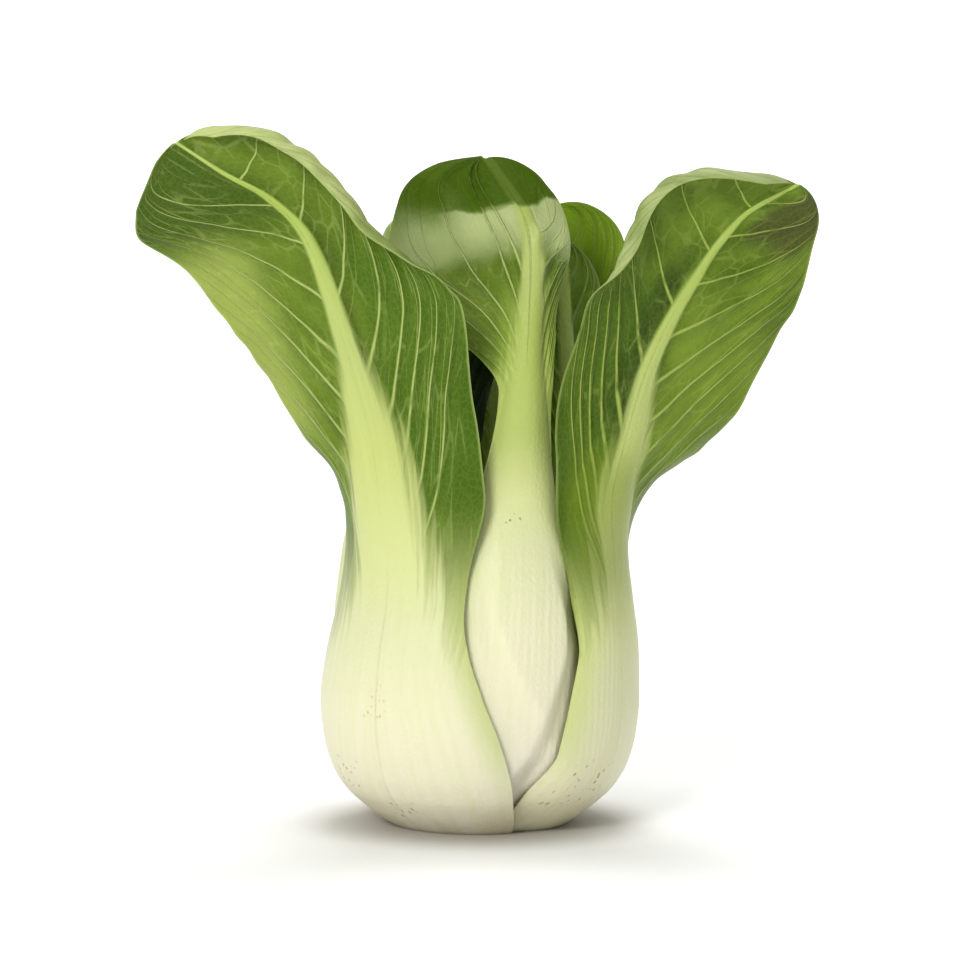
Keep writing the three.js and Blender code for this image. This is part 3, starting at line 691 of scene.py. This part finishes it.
leafFrontRight = {
    "name": "leaf_front_right",
    "slot": "leaf",
    "angle": -30,
    "start": 0,
    "spread": [1, 0.76],
    "waist": 0.24,
    "thickness": 5.4,
    "stalk": 0.92,
    "rib": [
        (33.3, -24.5, 84), (36.4, -27, 99.2), (42.5, -29, 119.3), (54, -32, 141.9),
        (64.8, -34, 156), (78, -36, 164),
    ],
    "facing": [-50, -62, -72, -78, -80, -80],
    "right": [28.5, 29.7, 30.2, 28.5, 22.9, 20],
    "left": [14, 18.5, 21.5, 28.3, 32.5, 37],
    "rightBend": [0.7, 0.45, 0.25, 0.2, 0.2, 0.2],
    "leftBend": [0.3, 0.1, -0.2, -0.35, -0.3, -0.2],
    "wave": [1.1, 2.2, 2.1],
    "tip": 27,
    "rowTurn": (125, 0.4),
    "rim": {"side": -1, "from": 128, "over": 22, "width": 10, "turn": 140},
    "grid": (120, 200),
    "rightVeins": [
        (52, 70), (66, 68), (82, 64), (97, 58), (112, 50), (127, 40), (143, 28), (158, 20), (171, 14),
    ],
    "leftVeins": [
        (44, 80), (56, 78), (69, 74), (84, 68), (100, 58), (118, 44), (136, 32), (153, 22), (168, 14),
    ],
    "paintedShadeAndLight": [
        # Painted shade in the fold just left of the midrib.
        {"side": (-10, -6, -2.6, -1.4), "along": (92, 110, 140, 158), "share": 0.75,
         "colour": (0.014, 0.034, 0.001)},
        # Painted shadow of the curl at the tip, brownish in tint.
        {"side": (2, 6, 16, 22), "along": (155, 164, 184, 192), "share": 0.75,
         "colour": (0.045, 0.04, 0.012)},
        # Painted shade on the lower left wing.
        {"side": (-40, -30, -7, -3), "along": (60, 78, 134, 150), "share": 0.65,
         "colour": (0.035, 0.085, 0.001)},
        # Painted light: the right wing made lighter where the light falls.
        {"side": (2, 8, 30, 40), "along": (84, 96, 130, 146), "share": 0.35,
         "colour": (0.20, 0.29, 0.03)},
    ],
    "marks": [
        # A deeper green up the stalk: its own green, deepened with painted shade.
        {"side": (-14, -9, 8, 13), "along": (46, 72, 88, 104), "share": 0.5,
         "colour": (0.15, 0.22, 0.01)},
        {"side": (-13, -10, -3, 0), "along": (7, 10, 17, 22), "share": 0.7,
         "colour": (0.34, 0.23, 0.08), "dotted": True},
    ],
    "look": rightLook,
}
makeLeaf(leafFrontRight)

leafBack = {
    "name": "leaf_back",
    "slot": "leaf",
    "angle": 103,
    "start": 0,
    "spread": [1, 1],
    "thickness": 5.4,
    "stalk": 1,
    "rib": [(-8, 37, 86), (-8, 39.5, 104), (-7, 44, 124), (-4, 51, 142), (-1, 58, 152), (1, 64, 156)],
    "facing": [102, 98, 94, 90, 88, 88],
    "right": [16, 20, 23, 24, 22, 18],
    "left": [16, 20, 24, 24, 22, 18],
    "rightBend": [0.7, 0.6, 0.45, 0.3, 0.25, 0.2],
    "leftBend": [0.7, 0.55, 0.4, 0.3, 0.25, 0.2],
    "wave": [1.6, 2.4, 1.1],
    "tip": 20,
    "rim": {"side": 0, "from": 120, "over": 22, "width": 8, "turn": 60},
    "grid": (110, 180),
    "rightVeins": plainVeins,
    "leftVeins": plainVeinsLater,
    "look": outerLook,
}
makeLeaf(leafBack)

leafFrontMiddle = {
    "name": "leaf_front_middle",
    "slot": "leaf",
    "angle": -75,
    "start": 0,
    "slack": 0.7,
    "spread": [0.95, 0.95],
    "thickness": 5,
    "stalk": 0.9,
    "rib": [
        (10.6, -30.4, 86), (11.6, -29.5, 112), (12.7, -26.5, 131), (13.2, -19.5, 146),
        (11.8, -10.5, 154.5), (8, -9.5, 161), (2, -12, 169.5),
    ],
    "facing": [-78, -88, -92, -92, -92, -92, -92],
    "right": [9.5, 6.5, 8, 10, 11, 9.5, 9],
    "left": [10, 6.5, 23, 38, 36, 29.5, 24],
    "rightBend": [0.4, 0.2, 0.1, 0.1, 0.1, 0.1, 0.1],
    "leftBend": [0.4, 0.2, 0.2, 0.25, 0.3, 0.35, 0.35],
    "fold": [0, 0.2, 0.8, 0.8, 0.6, 0.4, 0.3],
    "wave": [0.9, 2, 0.2],
    "tip": 13,
    "tilt": 8,
    "grid": (120, 200),
    "rightVeins": [(60, 66), (80, 56), (98, 44), (114, 34), (128, 26), (142, 18), (155, 12)],
    "leftVeins": [(94, 36), (101, 50), (106, 70), (110, 108), (115, 220), (134, 200)],
    "paintedShadeAndLight": [
        # Painted highlight: a pale glossy band below the crease at the top.
        {"side": (-24, -14, 20, 30), "along": (146, 161, 165, 166), "share": 0.6,
         "colour": (0.66, 0.74, 0.36)},
        # The same painted highlight, softer, on the left.
        {"side": (-60, -50, -24, -14), "along": (146, 156, 160, 171), "share": 0.5,
         "colour": (0.60, 0.68, 0.32)},
        # Painted light on the lower left of the blade, lifting it out of the shade of the front left
        # leaf.
        {"side": (-40, -30, -5, -1), "along": (96, 108, 130, 144), "share": 0.45,
         "colour": (0.20, 0.30, 0.04)},
    ],
    "marks": [
        {"side": (-9, -6, 6, 9), "along": (86, 104, 125, 150), "share": 0.5,
         "colour": (0.28, 0.40, 0.05)},
        # Painted shade over the blade above the crease, where it leans forward; this and the next patch.
        {"side": (-20, -12, 20, 30), "along": (165, 166.5, 200, 210), "share": 0.85,
         "colour": (0.056, 0.112, 0.002)},
        {"side": (-60, -50, -20, -12), "along": (160, 171, 200, 210), "share": 0.85,
         "colour": (0.056, 0.112, 0.002)},
        {"side": (-6, -4.5, 0, 1.5), "along": (80.5, 81.5, 82.7, 83.5), "share": 0.9,
         "colour": (0.24, 0.20, 0.06), "dotted": True},
    ],
    "look": middleLook,
}
makeLeaf(leafFrontMiddle)

leafLeft = {
    "name": "leaf_left",
    "slot": "leaf",
    "angle": 166,
    "start": 0,
    "slack": 0.15,
    "spread": [0.95, 0.95],
    "thickness": 5,
    "stalk": 0.9,
    "rib": [(-31.5, 8, 86), (-33, 9.5, 106), (-36, 12, 126), (-41, 16, 143), (-46, 20, 152)],
    "facing": [164, 162, 160, 158, 156],
    "right": [13, 18, 23, 22, 18],
    "left": [13, 18, 22, 22, 18],
    "rightBend": [0.6, 0.5, 0.4, 0.35, 0.3],
    "leftBend": [0.6, 0.5, 0.4, 0.35, 0.3],
    "wave": [1.3, 2.3, 3],
    "tip": 18,
    "grid": (100, 160),
    "rightVeins": plainVeinsLater,
    "leftVeins": plainVeins,
    "look": outerLook,
}
makeLeaf(leafLeft)

leafBackRight = {
    "name": "leaf_back_right",
    "slot": "leaf",
    "angle": 42,
    "start": 0,
    "spread": [0.95, 0.95],
    "thickness": 5,
    "stalk": 0.9,
    "rib": [(24.5, 22, 86), (24.5, 24, 106), (24, 27, 126), (22, 31, 142), (19, 36, 155)],
    "facing": [44, 48, 54, 58, 60],
    "right": [13, 17, 21, 21, 16],
    "left": [13, 17, 21, 20, 15],
    "rightBend": [0.6, 0.5, 0.4, 0.35, 0.3],
    "leftBend": [0.6, 0.5, 0.4, 0.35, 0.3],
    "wave": [1.4, 2.2, 5],
    "tip": 18,
    "grid": (100, 160),
    "rightVeins": plainVeins,
    "leftVeins": plainVeinsLater,
    "look": lobeLook,
}
makeLeaf(leafBackRight)

leafInnerRight = {
    "name": "leaf_inner_right",
    "slot": "leaf",
    "angle": -18,
    "start": 1.3,
    "slack": 0.45,
    "spread": [0.85, 0.85],
    "thickness": 4.2,
    "stalk": 0.75,
    "rib": [(26.5, -10, 84), (24.5, -9.5, 104), (22.5, -8, 122), (21.5, -4, 138), (21, 1, 149)],
    "facing": [-28, -42, -54, -60, -60],
    "right": [9, 11, 13, 13, 10],
    "left": [9, 11, 13, 13, 10],
    "rightBend": [0.6, 0.4, 0.3, 0.3, 0.3],
    "leftBend": [0.6, 0.4, 0.3, 0.3, 0.3],
    "wave": [1, 1.8, 1],
    "tip": 15,
    "grid": (80, 140),
    "rightVeins": plainVeins,
    "leftVeins": plainVeinsLater,
    "look": shadedLook,
}
makeLeaf(leafInnerRight)

leafInnerLeft = {
    "name": "leaf_inner_left",
    "slot": "leaf",
    "angle": -122,
    "start": 1.3,
    "slack": 0.2,
    "spread": [0.85, 0.85],
    "thickness": 4.2,
    "stalk": 0.75,
    "rib": [(-14.5, -23, 84), (-13, -21, 104), (-11.5, -17, 122), (-10, -11, 136), (-9, -5, 145)],
    "facing": [-120, -114, -108, -104, -102],
    "right": [10, 14, 16, 15, 12],
    "left": [10, 14, 16, 15, 12],
    "rightBend": [0.6, 0.4, 0.3, 0.3, 0.3],
    "leftBend": [0.6, 0.5, 0.5, 0.5, 0.5],
    "wave": [1, 1.9, 2],
    "tip": 15,
    "grid": (80, 140),
    "rightVeins": plainVeins,
    "leftVeins": plainVeinsLater,
    "marks": [
        # Painted shade: almost black where the leaf lies deep in the gap between the front leaves.
        {"side": (-30, -20, 20, 30), "along": (64, 78, 118, 136), "share": 0.97,
         "colour": (0.006, 0.014, 0.001)},
    ],
    "look": shadedLook,
}
makeLeaf(leafInnerLeft)

leafInnerBack = {
    "name": "leaf_inner_back",
    "slot": "heart_leaf",
    "angle": 80,
    "start": 4,
    "slack": 0.3,
    "spread": [0.8, 0.8],
    "thickness": 3.6,
    "stalk": 0.7,
    "rib": [(5, 22, 84), (5, 22, 102), (4.5, 23, 120), (4, 26, 136)],
    "facing": [82, 84, 86, 86],
    "right": [9, 12, 14, 11],
    "left": [9, 12, 14, 11],
    "rightBend": [0.6, 0.5, 0.5, 0.5],
    "leftBend": [0.6, 0.5, 0.5, 0.5],
    "wave": [0.9, 1.7, 4],
    "tip": 13,
    "grid": (80, 130),
    "rightVeins": plainVeins,
    "leftVeins": plainVeinsLater,
    "look": heartLook,
}
makeLeaf(leafInnerBack)

leafInnerFarLeft = {
    "name": "leaf_inner_far_left",
    "slot": "heart_leaf",
    "angle": 172,
    "start": 4,
    "slack": 0.3,
    "spread": [0.8, 0.8],
    "thickness": 3.6,
    "stalk": 0.7,
    "rib": [(-21, 3, 84), (-20.5, 3, 100), (-20, 4, 116), (-20, 6, 130)],
    "facing": [172, 170, 168, 166],
    "right": [8, 11, 13, 10],
    "left": [8, 11, 13, 10],
    "rightBend": [0.6, 0.5, 0.5, 0.5],
    "leftBend": [0.6, 0.5, 0.5, 0.5],
    "wave": [0.8, 1.6, 1.4],
    "tip": 13,
    "grid": (80, 130),
    "rightVeins": plainVeins,
    "leftVeins": plainVeinsLater,
    "look": heartLook,
}
makeLeaf(leafInnerFarLeft)

leafHeartFront = {
    "name": "leaf_heart_front",
    "slot": "heart_leaf",
    "angle": -58,
    "start": 9,
    "slack": 0.8,
    "spread": [0.8, 0.8],
    "thickness": 3,
    "stalk": 0.6,
    "rib": [(7, -12, 80), (6, -10, 96), (4.5, -7, 110), (3, -3, 120)],
    "facing": [-60, -64, -68, -70],
    "right": [6.5, 9, 10, 8],
    "left": [6.5, 9, 10, 8],
    "rightBend": [0.7, 0.7, 0.7, 0.7],
    "leftBend": [0.7, 0.7, 0.7, 0.7],
    "wave": [0.6, 1.5, 0],
    "tip": 11,
    "grid": (64, 110),
    "rightVeins": plainVeins,
    "leftVeins": plainVeinsLater,
    "look": heartLook,
}
makeLeaf(leafHeartFront)

leafHeartBack = {
    "name": "leaf_heart_back",
    "slot": "heart_leaf",
    "angle": 128,
    "start": 9,
    "slack": 1.1,
    "spread": [0.8, 0.8],
    "thickness": 3,
    "stalk": 0.6,
    "rib": [(-6, 9, 80), (-5.5, 8.5, 94), (-4.5, 7.5, 105), (-3.5, 6, 113)],
    "facing": [126, 124, 122, 120],
    "right": [6, 8, 9, 7],
    "left": [6, 8, 9, 7],
    "rightBend": [0.7, 0.7, 0.7, 0.7],
    "leftBend": [0.7, 0.7, 0.7, 0.7],
    "wave": [0.6, 1.5, 2],
    "tip": 10,
    "grid": (64, 110),
    "rightVeins": plainVeins,
    "leftVeins": plainVeinsLater,
    "look": heartLook,
}
makeLeaf(leafHeartBack)


# The stem that the leaves grow from, cut flat below.
stem = {
    "profile": [
        (11.5, 0), (11.4, 1.3), (11.7, 4), (11, 9), (8.8, 12.5), (5.8, 15.5), (2.8, 17.6), (0, 19),
    ],
    "sides": 96,
}


def stemMaterial():
    material = bpy.data.materials.new("cut_stem_flesh")
    material.use_nodes = True
    tree = material.node_tree
    tree.nodes.clear()
    spot = addNode(tree, "ShaderNodeTexCoord").outputs["Object"]
    x, y, _ = addNode(tree, "ShaderNodeSeparateXYZ", None, i0=spot).outputs
    square = maths(tree, "ADD", times(tree, x, x), times(tree, y, y))
    radius = maths(tree, "SQRT", square)
    radius = maths(tree, "DIVIDE", radius, millimetre)
    blotch = noise(tree, spot, 420.0, 4.0)
    wavy = maths(tree, "ADD", radius, times(tree, blotch, 1.6))
    pith = ramped(tree, wavy, 5.2, 7.4)
    bundles = addNode(tree, "ShaderNodeTexVoronoi", {"feature": "F1"}, Vector=spot, Scale=520.0)
    bundle = ramped(tree, bundles.outputs["Distance"], 0.12, 0.4, 1.0, 0.0)
    flesh = mixed(tree, pith, colour(0.90, 0.89, 0.74), colour(0.84, 0.82, 0.58))
    flesh = mixed(tree, times(tree, bundle, 0.3), flesh, colour(0.66, 0.70, 0.36))
    flesh = mixed(tree, ramped(tree, blotch, 0.55, 0.75, 0.0, 0.35), flesh, colour(0.62, 0.50, 0.28))
    bump = addNode(tree, "ShaderNodeBump", None, Strength=0.6, Distance=millimetre, Height=blotch)
    shader = addNode(tree, "ShaderNodeBsdfPrincipled", None,
                     **{"Base Color": flesh, "Roughness": ramped(tree, blotch, 0.3, 0.7, 0.45, 0.65)})
    tree.links.new(bump.outputs[0], shader.inputs["Normal"])
    addNode(tree, "ShaderNodeOutputMaterial", None, Surface=shader.outputs[0])
    return material


def makeStem():
    bm = bmesh.new()
    outline = [(0, 0)] + stem["profile"]
    corners = [bm.verts.new((radius * millimetre, 0, height * millimetre)) for radius, height in outline]
    edges = [bm.edges.new(pair) for pair in zip(corners, corners[1:])]
    bmesh.ops.spin(bm, geom=corners + edges, cent=(0, 0, 0), axis=(0, 0, 1), angle=2 * math.pi,
                   steps=stem["sides"], use_merge=True)
    bmesh.ops.remove_doubles(bm, verts=bm.verts[:], dist=1e-6)
    bmesh.ops.recalc_face_normals(bm, faces=bm.faces[:])
    for face in bm.faces:
        face.smooth = True
    mesh = bpy.data.meshes.new("cut_stem")
    bm.to_mesh(mesh)
    bm.free()
    mesh.set_sharp_from_angle(angle=50 * degree)
    piece = bpy.data.objects.new("cut_stem_dressed", mesh)
    bpy.context.scene.collection.objects.link(piece)
    piece.data.materials.append(stemMaterial())
    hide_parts("cut_stem")
    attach(piece, "root")
    print("made cut_stem", len(mesh.polygons), "faces")


makeStem()

# The camera, the floor and the lights, in metres.
view = {"distance": 1.2, "elevation": 5.5, "target": (0.0028, 0.0, 0.0861), "lens": 173.2}


def makeCamera():
    data = bpy.data.cameras.new("camera")
    data.lens = view["lens"]
    data.sensor_width = 36
    data.clip_start = 0.05
    camera = bpy.data.objects.new("camera", data)
    up = view["elevation"] * degree
    x, y, z = view["target"]
    away = view["distance"]
    camera.location = (x, y - away * math.cos(up), z + away * math.sin(up))
    camera.rotation_euler = (math.pi / 2 - up, 0, 0)
    bpy.context.scene.collection.objects.link(camera)
    bpy.context.scene.camera = camera


def makeFloor():
    floor = {"half": 6.0, "bendAt": 3.0, "bendRadius": 1.5, "segments": 60}
    bm = bmesh.new()
    bmesh.ops.create_grid(bm, x_segments=1, y_segments=floor["segments"], size=floor["half"])
    for vert in bm.verts:  # the far end is bent up into a backdrop
        past = vert.co.y - floor["bendAt"]
        if past > 0:
            angle = min(past / floor["bendRadius"], math.pi / 2)
            rise = past - angle * floor["bendRadius"]
            vert.co.y = floor["bendAt"] + floor["bendRadius"] * math.sin(angle)
            vert.co.z = floor["bendRadius"] * (1 - math.cos(angle)) + rise
    for face in bm.faces:
        face.smooth = True
    mesh = bpy.data.meshes.new("floor")
    bm.to_mesh(mesh)
    bm.free()
    material = bpy.data.materials.new("pale_floor")
    material.use_nodes = True
    shader = material.node_tree.nodes["Principled BSDF"]
    shader.inputs["Roughness"].default_value = 0.7
    shader.inputs["Specular IOR Level"].default_value = 0.2
    tree = material.node_tree
    spot = addNode(tree, "ShaderNodeTexCoord").outputs["Object"]
    away = addNode(tree, "ShaderNodeVectorMath", {"operation": "LENGTH"}, i0=spot).outputs["Value"]
    # Painted contact shadow: the floor's colour darkens within a few centimetres of the head.
    clear = ramped(tree, away, 0.026, 0.052)
    tint = mixed(tree, clear, colour(0.5, 0.48, 0.44), colour(0.93, 0.93, 0.93))
    tree.links.new(tint, shader.inputs["Base Color"])
    # Painted light: the floor glows, not at all next to the head, faintly further out and brightly on the
    # far floor and backdrop.
    paintedFloorGlow = mixed(tree, ramped(tree, away, 0.03, 0.09), colour(0.0, 0.0, 0.0), colour(0.2, 0.2, 0.2))
    paintedFloorGlow = mixed(tree, ramped(tree, away, 0.4, 3.0), paintedFloorGlow, colour(0.7, 0.7, 0.7))
    tree.links.new(paintedFloorGlow, shader.inputs["Emission Color"])
    shader.inputs["Emission Strength"].default_value = 1.0
    mesh.materials.append(material)
    piece = bpy.data.objects.new("floor", mesh)
    bpy.context.scene.collection.objects.link(piece)


def makeLight(name, place, size, power, tint):
    data = bpy.data.lights.new(name, "AREA")
    data.size = size
    data.energy = power
    data.color = tint
    light = bpy.data.objects.new(name, data)
    light.location = place
    aim = np.array(place) - np.array((0, 0, 0.09))
    tilt = math.atan2(math.hypot(aim[0], aim[1]), aim[2])
    light.rotation_euler = (tilt, 0, math.atan2(aim[0], -aim[1]))
    bpy.context.scene.collection.objects.link(light)


makeCamera()
makeFloor()
makeLight("key", (-0.8, -1.75, 1.1), 0.7, 26, (1.0, 0.99, 0.96))
makeLight("top", (0.1, 0.5, 1.7), 0.7, 12, (1.0, 1.0, 1.0))
world = bpy.data.worlds.new("studio")
world.use_nodes = True
world.node_tree.nodes["Background"].inputs["Color"].default_value = colour(1.0, 1.0, 1.0)
world.node_tree.nodes["Background"].inputs["Strength"].default_value = 0.45
bpy.context.scene.world = world
bpy.context.scene.view_settings.view_transform = "Standard"
print("camera, floor and lights made")
